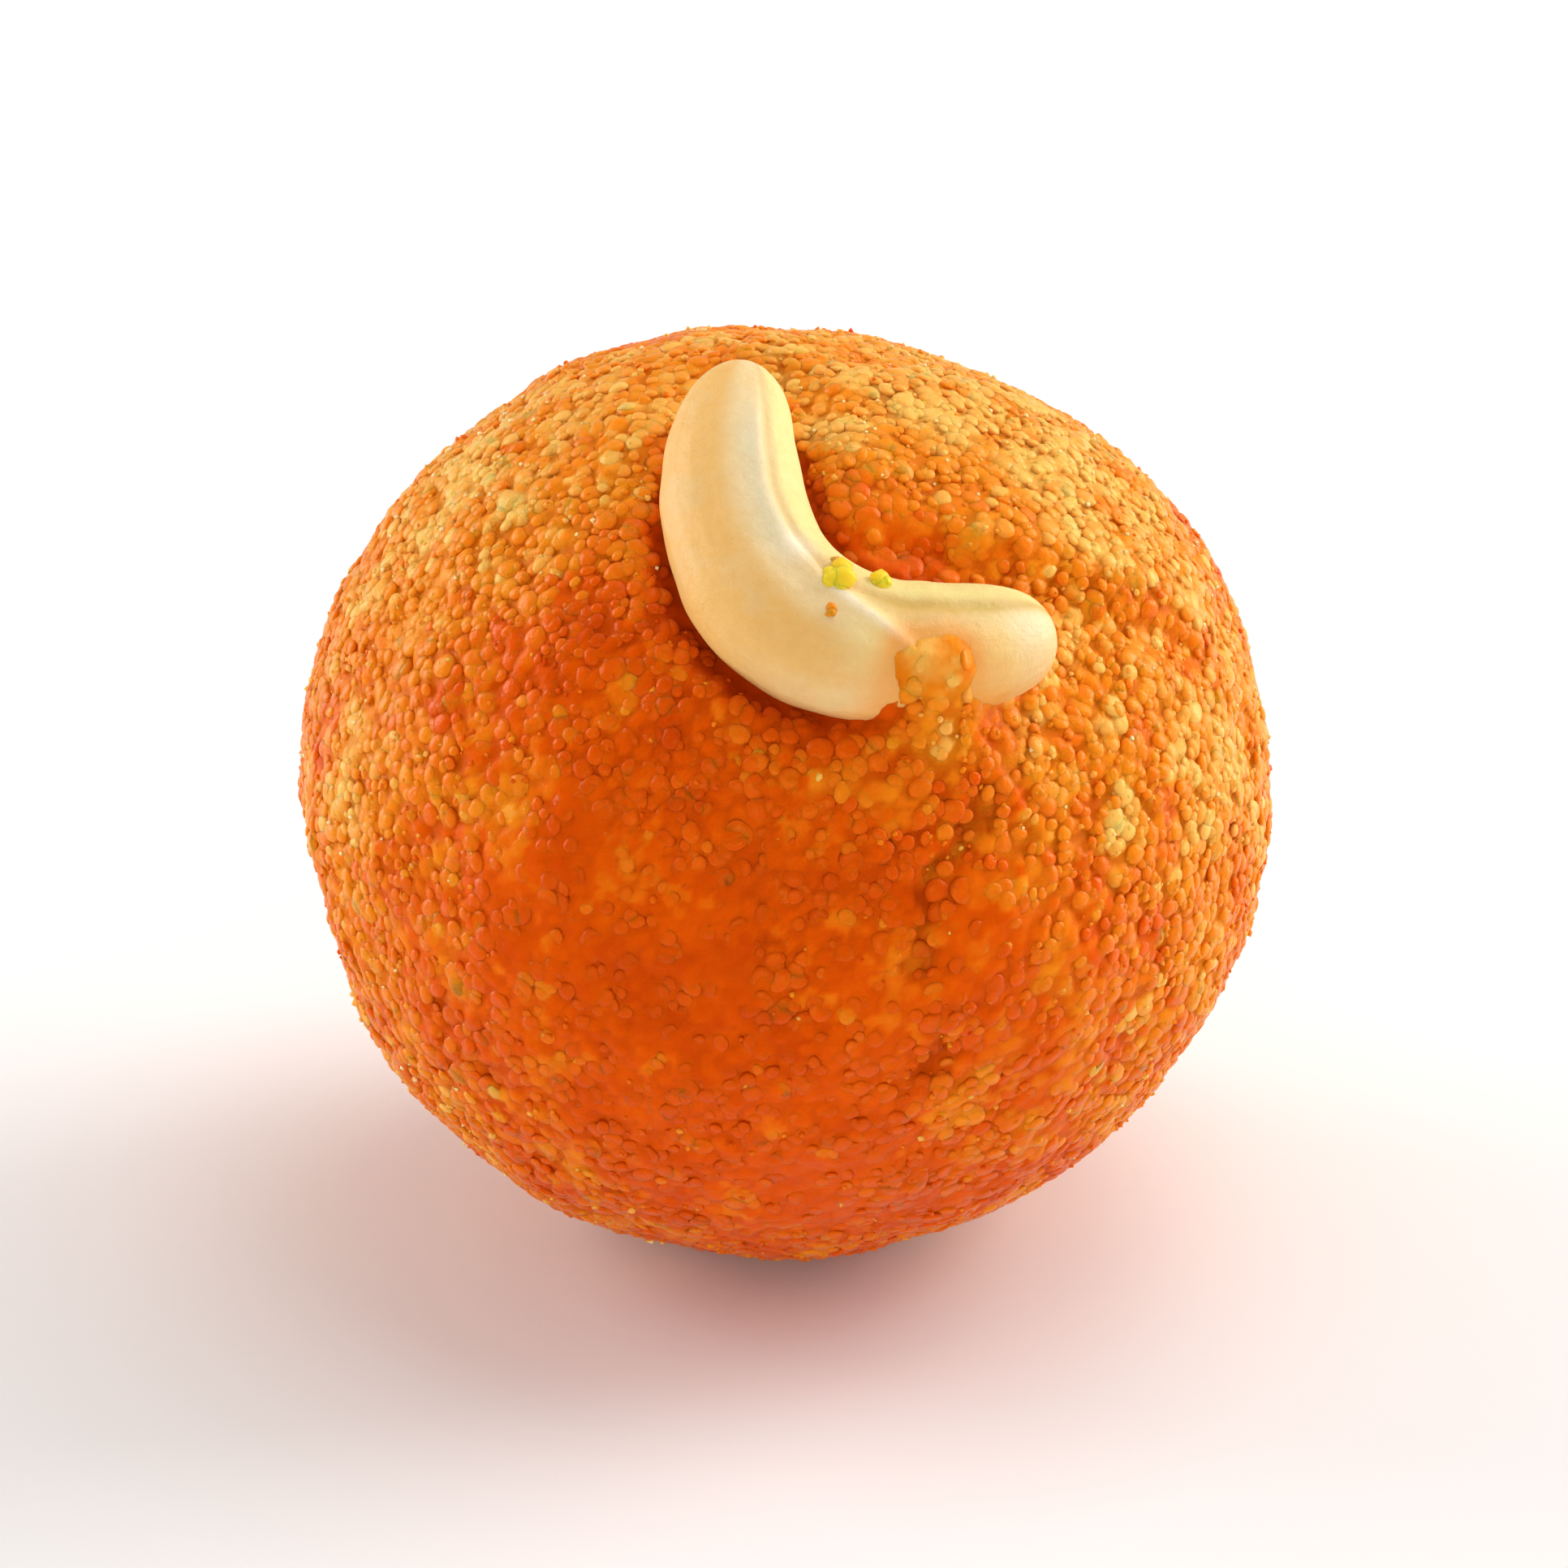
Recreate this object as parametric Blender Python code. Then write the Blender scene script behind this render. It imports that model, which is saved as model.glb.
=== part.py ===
"""Motichoor ladoo with a cashew kernel pressed into its crown.

Blender 4.5 script. Metres, +Z up. The origin is the middle of the small flat
foot that the ladoo rests on, and the cashew faces -Y. Directions on the ball
are given as (azimuth, elevation) in degrees from the ball's centre: azimuth
turns from +X towards +Y, elevation rises from the ball's equator.
"""

import math

import bmesh
import bpy
import numpy as np
from mathutils import Vector

# The ball of pressed boondi
LADOO_WIDTH = 0.0480
LADOO_HEIGHT = 0.0462  # of the whole ball, before its foot settled flat
FOOT_DEPTH = 0.0006  # height that the flat foot takes off the ball
BALL_CENTRE = Vector((0.0, 0.0, LADOO_HEIGHT / 2 - FOOT_DEPTH))
BALL_SUBDIVISIONS = 5
CROWN_DETAIL_CENTRE = (-65.0, 48.0)
CROWN_DETAIL_ANGLE = 39.0  # degrees around that direction where the faces are halved

# Broad swellings and flats left by the rolling palm: azimuth, elevation, height, spread in degrees
PALM_MARKS = (
    (172.0, 16.0, 0.00035, 17.0),
    (186.0, -12.0, -0.00045, 11.0),
    (52.0, 60.0, -0.00060, 24.0),
    (146.0, 50.0, 0.00015, 18.0),
    (14.0, 27.0, 0.00030, 20.0),
    (-12.0, -14.0, 0.00010, 16.0),
    (-68.0, 4.0, 0.00035, 20.0),
    (-68.0, 30.0, 0.00060, 10.0),
    (-108.0, 14.0, -0.00030, 18.0),
    (-128.0, -28.0, 0.00035, 22.0),
    (100.0, 8.0, -0.00045, 28.0),
    (60.0, -26.0, 0.00040, 24.0),
    (118.0, -34.0, -0.00030, 20.0),
)

# Fine unevenness: waves in directions spread by the golden angle
RIPPLE_COUNT = 14
RIPPLE_HEIGHT = 0.00004
RIPPLE_LONGEST = 0.0120
RIPPLE_SHORTEST = 0.0045

# Folds in the pressed mass beside the kernel: start, end, height and half-width of each line
FOLDS = {
    "lip over the side arm": ((-73.8, 37.9), (-68.6, 37.6), 0.00400, 0.00245),
    "hollow in the crook": ((-74.0, 55.0), (-50.0, 48.0), -0.00100, 0.0015),
    "bank above the crease": ((-48.0, 50.0), (-16.0, 35.0), 0.00050, 0.0030),
    "crease past the side tip": ((-44.0, 41.0), (-22.0, 28.5), -0.00080, 0.0013),
}

# The cashew kernel lies in a plane whose normal points out of the ball
KERNEL_AZIMUTH = -79.5
KERNEL_ELEVATION = 54.3
KERNEL_TURN = -8.6  # degrees in its own plane
KERNEL_DISTANCE = 0.0228  # from the ball's centre to the kernel's mid-plane at the elbow
KERNEL_BOW = 0.0010  # how far both tips bend back towards the ball
# Centre line as a cubic Bezier curve in that plane: crown tip, its handle, the other handle, side tip
KERNEL_LINE = ((-0.0042, 0.0109), (-0.0068, -0.0051), (0.0001, -0.0077), (0.0105, -0.0030))
KERNEL_HALF_WIDTHS = (0.00305, 0.0040, 0.00245)  # at the crown tip, the elbow and the side tip
KERNEL_HALF_THICKNESSES = (0.0026, 0.0033, 0.0027)
CROWN_TIP_BLUNTNESS = 8.0  # 2 is an ellipse, more is a blunter tip
SIDE_TIP_BLUNTNESS = 14.0
INNER_RIDGE = (132.0, 24.0, 0.10)  # section angle, spread and share of the radius
SEAM_HOLLOW = (180.0, 20.0, -0.12)
KERNEL_RINGS = 34
KERNEL_SIDES = 26

PRESS_MARGIN = 0.0016  # how far from the kernel the boondi sinks with it
PRESS_DEPTH = 0.0007
KERNEL_GAP = 0.0003

BOONDI_COLOUR = (0.72, 0.15, 0.008, 1.0)
CASHEW_COLOUR = (0.86, 0.62, 0.32, 1.0)


def clear_scene():
    for existing in list(bpy.data.objects):
        bpy.data.objects.remove(existing, do_unlink=True)


def new_collection(name):
    collection = bpy.data.collections.new(name)
    bpy.context.scene.collection.children.link(collection)
    return collection


def new_material(name, colour, roughness):
    material = bpy.data.materials.new(name)
    material.use_nodes = True
    shader = material.node_tree.nodes["Principled BSDF"]
    shader.inputs["Base Color"].default_value = colour
    shader.inputs["Roughness"].default_value = roughness
    shader.inputs["Metallic"].default_value = 0.0
    return material


def object_from_bmesh(name, shape, collection, material=None):
    mesh = bpy.data.meshes.new(name)
    shape.to_mesh(mesh)
    shape.free()
    mesh.shade_smooth()
    made = bpy.data.objects.new(name, mesh)
    collection.objects.link(made)
    if material:
        mesh.materials.append(material)
    return made


def direction(azimuth, elevation):
    """Unit vector for two angles in degrees."""
    turn, rise = math.radians(azimuth), math.radians(elevation)
    return np.array((math.cos(turn) * math.cos(rise), math.sin(turn) * math.cos(rise), math.sin(rise)))


def angle_to(directions, other):
    """Angle in radians between each direction and another one."""
    return np.arccos(np.clip(directions @ other, -1.0, 1.0))


def bell(distance, spread):
    """1 at no distance, falling smoothly to nothing over about two spreads."""
    return np.exp(-((distance / spread) ** 2))


def three_way(values, along):
    """Smooth blend from the first value over the middle one to the last, as along goes from 0 to 1."""
    first, middle, last = values
    handle = 2 * middle - (first + last) / 2
    return first * (1 - along) ** 2 + 2 * handle * along * (1 - along) + last * along**2


def ellipsoid_radius(directions):
    across = (directions[:, 0] ** 2 + directions[:, 1] ** 2) / (LADOO_WIDTH / 2) ** 2
    upright = directions[:, 2] ** 2 / (LADOO_HEIGHT / 2) ** 2
    return 1 / np.sqrt(across + upright)


def palm_marks(directions):
    total = np.zeros(len(directions))
    for azimuth, elevation, height, spread in PALM_MARKS:
        angle = angle_to(directions, direction(azimuth, elevation))
        total += height * bell(angle, math.radians(spread))
    return total


def ripples(points):
    """Sum of sine waves, each in its own direction and of its own length."""
    golden_angle = math.pi * (3 - math.sqrt(5))
    total = np.zeros(len(points))
    for number in range(RIPPLE_COUNT):
        rise = 1 - 2 * (number + 0.5) / RIPPLE_COUNT
        around = golden_angle * number
        level = math.sqrt(1 - rise * rise)
        heading = np.array((level * math.cos(around), level * math.sin(around), rise))
        share = number / (RIPPLE_COUNT - 1)
        length = RIPPLE_LONGEST * (RIPPLE_SHORTEST / RIPPLE_LONGEST) ** share
        total += RIPPLE_HEIGHT * np.sin(points @ heading * 2 * math.pi / length + around)
    return total


def distance_to_line(points, start, end):
    """Distance from each point to the straight line between two points."""
    reach = end - start
    share = np.clip((points - start) @ reach / (reach @ reach), 0.0, 1.0)
    return np.linalg.norm(points - start - share[:, None] * reach, axis=1)


def folds(directions, radius):
    total = np.zeros(len(directions))
    surface = directions * radius[:, None]
    for start, end, height, half_width in FOLDS.values():
        ends = [direction(*place) * LADOO_WIDTH / 2 for place in (start, end)]
        total += height * bell(distance_to_line(surface, *ends), half_width)
    return total


def kernel_axes():
    """The kernel's own right, up and outward directions."""
    outward = direction(KERNEL_AZIMUTH, KERNEL_ELEVATION)
    turn = math.radians(KERNEL_AZIMUTH)
    east = np.array((-math.sin(turn), math.cos(turn), 0.0))
    north = np.cross(outward, east)
    roll = math.radians(KERNEL_TURN)
    right = east * math.cos(roll) + north * math.sin(roll)
    return right, np.cross(outward, right), outward


def kernel_line(along):
    """Points of the kernel's centre line and the in-plane directions away from its hollow side."""
    right, up, outward = kernel_axes()
    start, leaving, arriving, end = (np.array(point) for point in KERNEL_LINE)
    along = along[:, None]
    back = 1 - along
    flat = start * back**3 + 3 * leaving * along * back**2 + 3 * arriving * along**2 * back + end * along**3
    heading = (leaving - start) * back**2 + 2 * (arriving - leaving) * along * back + (end - arriving) * along**2
    heading /= np.linalg.norm(heading, axis=1)[:, None]
    lift = KERNEL_DISTANCE - KERNEL_BOW * (2 * along - 1) ** 2
    points = np.array(BALL_CENTRE) + flat[:, :1] * right + flat[:, 1:] * up + lift * outward
    away = heading[:, 1:] * right - heading[:, :1] * up
    return points, away


def kernel_section(around):
    """Radius of the kernel's cross-section as a share of an ellipse's, by angle from its outer side."""
    degrees = np.degrees(around)
    share = np.ones(len(degrees))
    for angle, spread, height in (INNER_RIDGE, SEAM_HOLLOW, (-INNER_RIDGE[0], *INNER_RIDGE[1:])):
        difference = (degrees - angle + 180) % 360 - 180
        share += height * bell(difference, spread)
    return share


def kernel_taper(along):
    """Share of the full section left at each place, falling to nothing at both tips."""
    from_elbow = np.abs(2 * along - 1)
    bluntness = np.where(along < 0.5, CROWN_TIP_BLUNTNESS, SIDE_TIP_BLUNTNESS)
    return np.sqrt(np.clip(1 - from_elbow**bluntness, 0.0, 1.0))


def kernel_shape(grow=0.0):
    """The kernel as a UV sphere drawn out along its centre line, larger by grow all round."""
    shape = bmesh.new()
    bmesh.ops.create_uvsphere(shape, u_segments=KERNEL_SIDES, v_segments=KERNEL_RINGS, radius=1.0)
    ball = np.array([vertex.co for vertex in shape.verts])
    along = np.clip((1 - ball[:, 2]) / 2, 0.0, 1.0)
    around = np.arctan2(ball[:, 1], ball[:, 0])
    points, away = kernel_line(along)
    outward = kernel_axes()[2]
    size = kernel_taper(along) * kernel_section(around)
    half_width = three_way(KERNEL_HALF_WIDTHS, along) + grow
    half_thickness = three_way(KERNEL_HALF_THICKNESSES, along) + grow
    points += (np.cos(around) * half_width * size)[:, None] * away
    points += (np.sin(around) * half_thickness * size)[:, None] * outward
    # the tips move out along the line, so that the growth is the same there
    points += (grow * (2 * along - 1))[:, None] * np.cross(outward, away)
    for vertex, place in zip(shape.verts, points):
        vertex.co = place
    bmesh.ops.recalc_face_normals(shape, faces=shape.faces)
    return shape


def pressed_by_kernel(surface):
    """How deep the kernel has drawn the boondi in at points of the ball's surface."""
    line, _ = kernel_line(np.linspace(0.0, 1.0, 41))
    gaps = surface[:, None, :] - line[None, :, :]
    distance = np.sqrt((gaps**2).sum(axis=2)).min(axis=1)
    edge = np.mean(KERNEL_HALF_WIDTHS)
    return PRESS_DEPTH * bell(np.maximum(distance - edge, 0.0), PRESS_MARGIN)


def ladoo_radius(directions):
    """Distance from the ball's centre to its surface, in each direction."""
    radius = ellipsoid_radius(directions) + palm_marks(directions)
    radius += ripples(directions * radius[:, None])
    surface = directions * radius[:, None] + np.array(BALL_CENTRE)
    radius -= pressed_by_kernel(surface)
    return radius + folds(directions, radius)


def detail_crown(shape):
    """Halves the faces around the kernel and the folds beside it."""
    middle = Vector(direction(*CROWN_DETAIL_CENTRE))
    limit = math.cos(math.radians(CROWN_DETAIL_ANGLE))
    near = [e for e in shape.edges if all(v.co.normalized().dot(middle) > limit for v in e.verts)]
    bmesh.ops.subdivide_edges(shape, edges=near, cuts=1, use_grid_fill=True)
    bmesh.ops.triangulate(shape, faces=[face for face in shape.faces if len(face.verts) > 3])


def flatten_foot(shape):
    """Cuts the ball at the level that it rests on and closes the cut."""
    everything = shape.verts[:] + shape.edges[:] + shape.faces[:]
    bmesh.ops.bisect_plane(shape, geom=everything, plane_co=(0, 0, 0), plane_no=(0, 0, -1), clear_outer=True)
    rim = [edge for edge in shape.edges if edge.is_boundary]
    bmesh.ops.edgeloop_fill(shape, edges=rim)


def make_ladoo(collection, material):
    shape = bmesh.new()
    bmesh.ops.create_icosphere(shape, subdivisions=BALL_SUBDIVISIONS, radius=1.0)
    detail_crown(shape)
    directions = np.array([vertex.co.normalized() for vertex in shape.verts])
    surface = directions * ladoo_radius(directions)[:, None] + np.array(BALL_CENTRE)
    for vertex, place in zip(shape.verts, surface):
        vertex.co = place
    flatten_foot(shape)
    bmesh.ops.recalc_face_normals(shape, faces=shape.faces)
    return object_from_bmesh("ladoo", shape, collection, material)


def press_in(ball, cutter):
    """Takes the kernel's seat out of the ball."""
    seat = ball.modifiers.new("kernel seat", "BOOLEAN")
    seat.operation = "DIFFERENCE"
    seat.object = cutter
    cutter.hide_render = True
    cutter.display_type = "WIRE"


def main():
    clear_scene()
    parts = new_collection("motichoor_ladoo")
    cutters = new_collection("cutters")
    boondi = new_material("pressed_boondi", BOONDI_COLOUR, 0.40)
    nut = new_material("cashew", CASHEW_COLOUR, 0.50)
    ladoo = make_ladoo(parts, boondi)
    object_from_bmesh("cashew", kernel_shape(), parts, nut)
    seat = object_from_bmesh("kernel_seat", kernel_shape(grow=KERNEL_GAP), cutters)
    press_in(ladoo, seat)


main()
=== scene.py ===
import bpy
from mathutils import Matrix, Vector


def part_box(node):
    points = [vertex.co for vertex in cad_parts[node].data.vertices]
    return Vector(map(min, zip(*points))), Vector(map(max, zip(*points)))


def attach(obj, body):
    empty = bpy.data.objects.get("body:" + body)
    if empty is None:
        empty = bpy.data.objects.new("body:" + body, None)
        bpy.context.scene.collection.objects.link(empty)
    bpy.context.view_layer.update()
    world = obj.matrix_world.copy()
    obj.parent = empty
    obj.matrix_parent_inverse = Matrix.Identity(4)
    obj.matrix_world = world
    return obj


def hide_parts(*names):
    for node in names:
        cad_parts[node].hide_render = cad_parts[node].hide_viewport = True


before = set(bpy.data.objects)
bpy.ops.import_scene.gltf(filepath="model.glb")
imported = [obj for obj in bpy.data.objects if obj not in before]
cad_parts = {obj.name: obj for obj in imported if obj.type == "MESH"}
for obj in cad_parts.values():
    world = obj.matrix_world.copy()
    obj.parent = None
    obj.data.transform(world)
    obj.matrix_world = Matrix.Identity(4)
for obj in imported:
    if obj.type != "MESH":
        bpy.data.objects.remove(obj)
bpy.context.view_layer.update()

import math
import bmesh
import bpy
import numpy as np
from mathutils import Vector

dice = np.random.default_rng(27)
mm = 0.001
goldenAngle = math.pi * (3 - math.sqrt(5))

# the pressed ball: its outline is a radius for every direction from its centre
ball = {
    "width": 48.0 * mm,
    "height": 46.2 * mm,
    "footDepth": 0.6 * mm,
    # broad swellings and flats from the palm: azimuth, elevation, height in mm, spread in degrees
    "palmMarks": (
        (172, 16, 0.35, 17),
        (186, -12, -0.45, 11),
        (52, 60, -0.6, 24),
        (146, 50, 0.15, 18),
        (14, 27, 0.3, 20),
        (-12, -14, 0.1, 16),
        (-68, 4, 0.35, 20),
        (-68, 30, 0.6, 10),
        (-108, 14, -0.3, 18),
        (-128, -28, 0.35, 22),
        (100, 8, -0.45, 28),
        (60, -26, 0.4, 24),
        (118, -34, -0.3, 20),
    ),
    "waves": (14, 0.04 * mm, 12.0 * mm, 4.5 * mm),  # count, height, longest, shortest, as for all waves
    # folds beside the kernel: start, end, height and half-width in mm
    "folds": (
        ((-73.8, 37.9), (-68.6, 37.6), 4.0, 2.45),  # lip over the side arm
        ((-74, 55), (-50, 48), -1.0, 1.5),  # hollow in the crook
        ((-48, 50), (-16, 35), 0.5, 3.0),  # bank above the crease
        ((-44, 41), (-22, 28.5), -0.8, 1.3),  # crease past the side tip
    ),
    "pressMargin": 1.6 * mm,
    "pressDepth": 0.7 * mm,
}
ballCentre = np.array((0.0, 0.0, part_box("ladoo")[0][2] + ball["height"] / 2 - ball["footDepth"]))
ballRadius = ball["width"] / 2
lipLine = ball["folds"][0][:2]

# the cashew kernel: a bent, tapering rod with a ridge on both sides of its inner seam
kernel = {
    "azimuth": -79.5,
    "elevation": 54.3,
    "turn": -8.6,
    "distance": 22.8 * mm,
    "bow": 1.0 * mm,
    "line": ((-4.2, 10.9), (-6.8, -5.1), (0.1, -7.7), (10.5, -3.0)),  # in mm, in the kernel's plane
    "halfWidths": (3.05 * mm, 4.0 * mm, 2.45 * mm),
    "halfThicknesses": (2.6 * mm, 3.3 * mm, 2.7 * mm),
    "crownBluntness": 8.0,
    "sideBluntness": 14.0,
    "coarseSteps": 41,  # places on the line for the pressed rim
    "fineSteps": 121,  # places on the line for depths in the kernel
    "thinnest": 0.05,  # least taper for those depths
    # angles round the section, by share of the line: the front half's ridge, the groove between the halves
    "ridgeAngles": ((0.0, 0.45, 0.61, 0.72, 0.8), (103.0, 103.0, 94.0, 76.0, 30.0)),
    "grooveAngles": ((0.0, 0.4, 0.56, 0.7, 0.9), (112.0, 114.0, 114.0, 103.0, 97.0)),
    "angleRounding": 0.03,  # share of the line that rounds those tables' corners
    "frontHalf": ((0.02, 0.12), (0.8, 0.73)),  # where on the line it comes and goes
    "split": ((0.02, 0.12), (0.97, 0.88)),  # the same for the groove
    "ridge": (0.05, 7.0),  # share of the radius, spread in degrees
    "groove": (-0.05, 5.5),
    "shelf": (-0.055, 2.0, 14.0),  # share of the radius lost past the ridge, from, to
    "seam": (-0.12, 18.0),  # share of the radius on the inner side, spread
    # wrinkles along it: share of the radius, how many round it, drift, start, beat (0 for none)
    "wrinkles": (
        (0.004, 9, 1.0, 0.0, 0),
        (0.003, 17, -1.7, 1.0, 0),
        (0.0022, 29, 3.0, 0.0, 7),
        (0.0014, 43, -4.0, 0.0, 0),
    ),
    "drift": 5.0,  # radians from tip to tip
    "lumps": (12, 0.0045, 9 * mm, 2.5 * mm),
    "rings": 144,
    "sides": 160,
}


# a direction: the unit vector that two angles in degrees point along
def direction(azimuth, elevation):
    turn, rise = math.radians(azimuth), math.radians(elevation)
    return np.array((math.cos(turn) * math.cos(rise), math.sin(turn) * math.cos(rise), math.sin(rise)))


def unit(vectors):
    return vectors / np.linalg.norm(vectors, axis=1)[:, None]


# bell: 1 at no distance, falling as e to the minus (distance over spread) squared
def bell(distance, spread):
    return np.exp(-((distance / spread) ** 2))


# spot: a bell of the angle away from one place on the ball, its spread in degrees
def spot(directions, azimuth, elevation, spread):
    angle = np.arccos(np.clip(directions @ direction(azimuth, elevation), -1.0, 1.0))
    return bell(angle, math.radians(spread))


# spiral: directions evenly spread over the sphere, equal rises apart and turned by the golden angle
def spiral(count, start):
    rise = 1 - 2 * (np.arange(count) + 0.5) / count
    around = goldenAngle * (np.arange(count) + start)
    level = np.sqrt(1 - rise * rise)
    return np.column_stack((level * np.cos(around), level * np.sin(around), rise)), around


# waves: a sum of sines, their headings on the spiral, their lengths in a geometric series
def waves(points, count, height, longest, shortest):
    total = np.zeros(len(points))
    for number, (heading, phase) in enumerate(zip(*spiral(count, 0.0))):
        length = longest * (shortest / longest) ** (number / (count - 1))
        total += height * np.sin(points @ heading * 2 * math.pi / length + phase)
    return total


# smooth step: 0 before low and 1 past high, three squares less two cubes between; low may be the larger
def smoothStep(low, high, value):
    share = np.clip((value - low) / (high - low), 0.0, 1.0)
    return share * share * (3 - 2 * share)


# a quadratic through three values, at 0, a half and 1
def threeWay(values, along):
    first, middle, last = values
    handle = 2 * middle - (first + last) / 2
    return first * (1 - along) ** 2 + 2 * handle * along * (1 - along) + last * along**2


# kernel's plane: east and north on the ball, turned by its own angle, and the way out
def kernelAxes():
    outward = direction(kernel["azimuth"], kernel["elevation"])
    turn = math.radians(kernel["azimuth"])
    east = np.array((-math.sin(turn), math.cos(turn), 0.0))
    north = np.cross(outward, east)
    roll = math.radians(kernel["turn"])
    right = east * math.cos(roll) + north * math.sin(roll)
    return right, np.cross(outward, right), outward


# kernel line: a cubic Bezier in the kernel's plane, both tips bowed back; also its side direction
def kernelLine(along):
    right, up, outward = kernelAxes()
    start, leaving, arriving, end = (np.array(point) * mm for point in kernel["line"])
    along = along[:, None]
    back = 1 - along
    flat = start * back**3 + 3 * leaving * along * back**2 + 3 * arriving * along**2 * back
    flat += end * along**3
    heading = (leaving - start) * back**2 + 2 * (arriving - leaving) * along * back
    heading += (end - arriving) * along**2
    heading = unit(heading)
    lift = kernel["distance"] - kernel["bow"] * (2 * along - 1) ** 2
    points = ballCentre + flat[:, :1] * right + flat[:, 1:] * up + lift * outward
    return points, heading[:, 1:] * right - heading[:, :1] * up


# taper: a rounded square in its blunt middle, falling to nothing at both tips
def kernelTaper(along):
    bluntness = np.where(along < 0.5, kernel["crownBluntness"], kernel["sideBluntness"])
    return np.sqrt(np.clip(1 - np.abs(2 * along - 1) ** bluntness, 0.0, 1.0))


# squared distance from every point to every place on a line
def squaredGaps(points, line):
    return (points**2).sum(1)[:, None] + (line**2).sum(1)[None, :] - 2 * points @ line.T


# depth inside the kernel: 1 at its skin, less inside, more outside
def kernelShare(points):
    along = np.linspace(0.0, 1.0, kernel["fineSteps"])
    line, away = kernelLine(along)
    outward = kernelAxes()[2]
    size = np.maximum(kernelTaper(along), kernel["thinnest"])
    nearest = squaredGaps(points, line).argmin(1)
    gap = points - line[nearest]
    across = (gap * away[nearest]).sum(1) / (threeWay(kernel["halfWidths"], along) * size)[nearest]
    rise = gap @ outward / (threeWay(kernel["halfThicknesses"], along) * size)[nearest]
    return np.sqrt(across**2 + rise**2)


# distance from points to the straight line between two directions on the ball
def lineDistance(surface, start, end):
    first, last = (direction(*place) * ballRadius for place in (start, end))
    reach = last - first
    share = np.clip((surface - first) @ reach / (reach @ reach), 0.0, 1.0)
    return np.linalg.norm(surface - first - share[:, None] * reach, axis=1)


# form radius: an ellipsoid plus bells, waves, the pressed rim round the kernel and the folds
def formRadius(directions):
    across = (directions[:, 0] ** 2 + directions[:, 1] ** 2) / ballRadius**2
    radius = 1 / np.sqrt(across + directions[:, 2] ** 2 / (ball["height"] / 2) ** 2)
    for azimuth, elevation, height, spread in ball["palmMarks"]:
        radius += height * mm * spot(directions, azimuth, elevation, spread)
    radius += waves(directions * radius[:, None], *ball["waves"])
    surface = directions * radius[:, None] + ballCentre
    line = kernelLine(np.linspace(0.0, 1.0, kernel["coarseSteps"]))[0]
    distance = np.sqrt(np.maximum(squaredGaps(surface, line).min(1), 0.0))
    beside = np.maximum(distance - np.mean(kernel["halfWidths"]), 0.0)
    radius -= ball["pressDepth"] * bell(beside, ball["pressMargin"])
    surface = directions * radius[:, None]
    for start, end, height, halfWidth in ball["folds"]:
        radius += height * mm * bell(lineDistance(surface, start, end), halfWidth * mm)
    return radius


def formPoints(directions):
    return directions * formRadius(directions)[:, None] + ballCentre


# form normals: the cross product of the surface's slopes along two tangents
def formNormals(directions, step=0.012):
    nearPole = np.abs(directions[:, 2:]) > 0.8
    helper = np.where(nearPole, (1.0, 0.0, 0.0), (0.0, 0.0, 1.0))
    first = unit(np.cross(helper, directions))
    second = np.cross(directions, first)
    slopes = []
    for tangent in (first, second):
        ends = [formPoints(unit(directions + sign * step * tangent)) for sign in (1, -1)]
        slopes.append(ends[0] - ends[1])
    return unit(np.cross(*slopes))


# where the palm has rubbed the pearls smooth
smearing = {
    "patches": (
        (-103, 3, 42, 1.0),  # azimuth, elevation, spread in degrees, strength
        (-84, -32, 44, 0.85),
        (-66, 8, 15, 0.75),
        (-112, 32, 16, 0.8),
        (-69, 37, 9, 1.0),
        (-66, 54, 7, 0.95),
        (-55, 49, 8, 0.9),
        (20, 6, 22, 0.5),
        (84, 12, 34, 0.8),
        (165, -24, 24, 0.6),
        (120, 62, 16, 0.5),
    ),
    "waves": (16, 0.045, 14 * mm, 3 * mm),  # they break up the edges
    "edge": 0.02,  # no waves where there is less smear than this
}

# how golden or deep the boondi is, from 0 to 1; the tint also carries painted light and shade
tinting = {
    "ground": 0.67,
    # tint lost where smeared: partly the paste's own deeper tone, partly painted shade, as most of the smear
    # lies over the front
    "smearLoss": 0.2,
    "drift": (18, 0.024, 9 * mm, 2.5 * mm),
    # lighter or deeper spots, set one by one: some are the boondi's own tone, the ones marked are painted
    # light and shade
    "patches": (
        # painted shade: deeper over the front, partly the smeared paste's own tone
        (-102, 2, 34, -0.17),  # azimuth, elevation, spread in degrees, change
        # painted shade: deeper low on the front
        (-84, -34, 40, -0.1),
        # the lip over the side arm: partly its paler crumbs, partly painted light
        (-71, 38.5, 7, 0.52),
        (-109, 15, 9, -0.08),
        # painted shade in a band left of the kernel
        (-126, 45, 9, -0.12),
        (-68, 18, 9, -0.06),
        (-50, 33, 8, 0.14),
        (-64, 32, 3.5, 0.16),
        (-64, 11, 5, 0.16),
        # painted shade in a band left of the kernel
        (-118, 38, 10, -0.13),
        # painted shadow of the kernel, under its elbow
        (-102, 33, 8, -0.14),
        (-131, 28, 10, -0.06),
        # painted shade in the hollow above the side arm
        (-60, 52, 8, -0.1),
        (-73, 74, 9, 0.1),
        (-155, 16, 4, 0.26),
        (-154, 9, 3, 0.28),
        (-148, 18, 22, 0.06),
        (-46.5, 13.5, 1.9, 0.45),
        (-44.5, 24.5, 4, 0.14),
        (-31.5, 18, 6, 0.2),
        (-20, 30, 28, 0.06),
        # painted light on the upper right
        (-2, 60, 20, 0.28),
        (-13, 13, 14, 0.1),
        # painted light on the top
        (90, 84, 22, 0.12),
        # painted light on the upper left
        (-176, 52, 20, 0.24),
    ),
}


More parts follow.
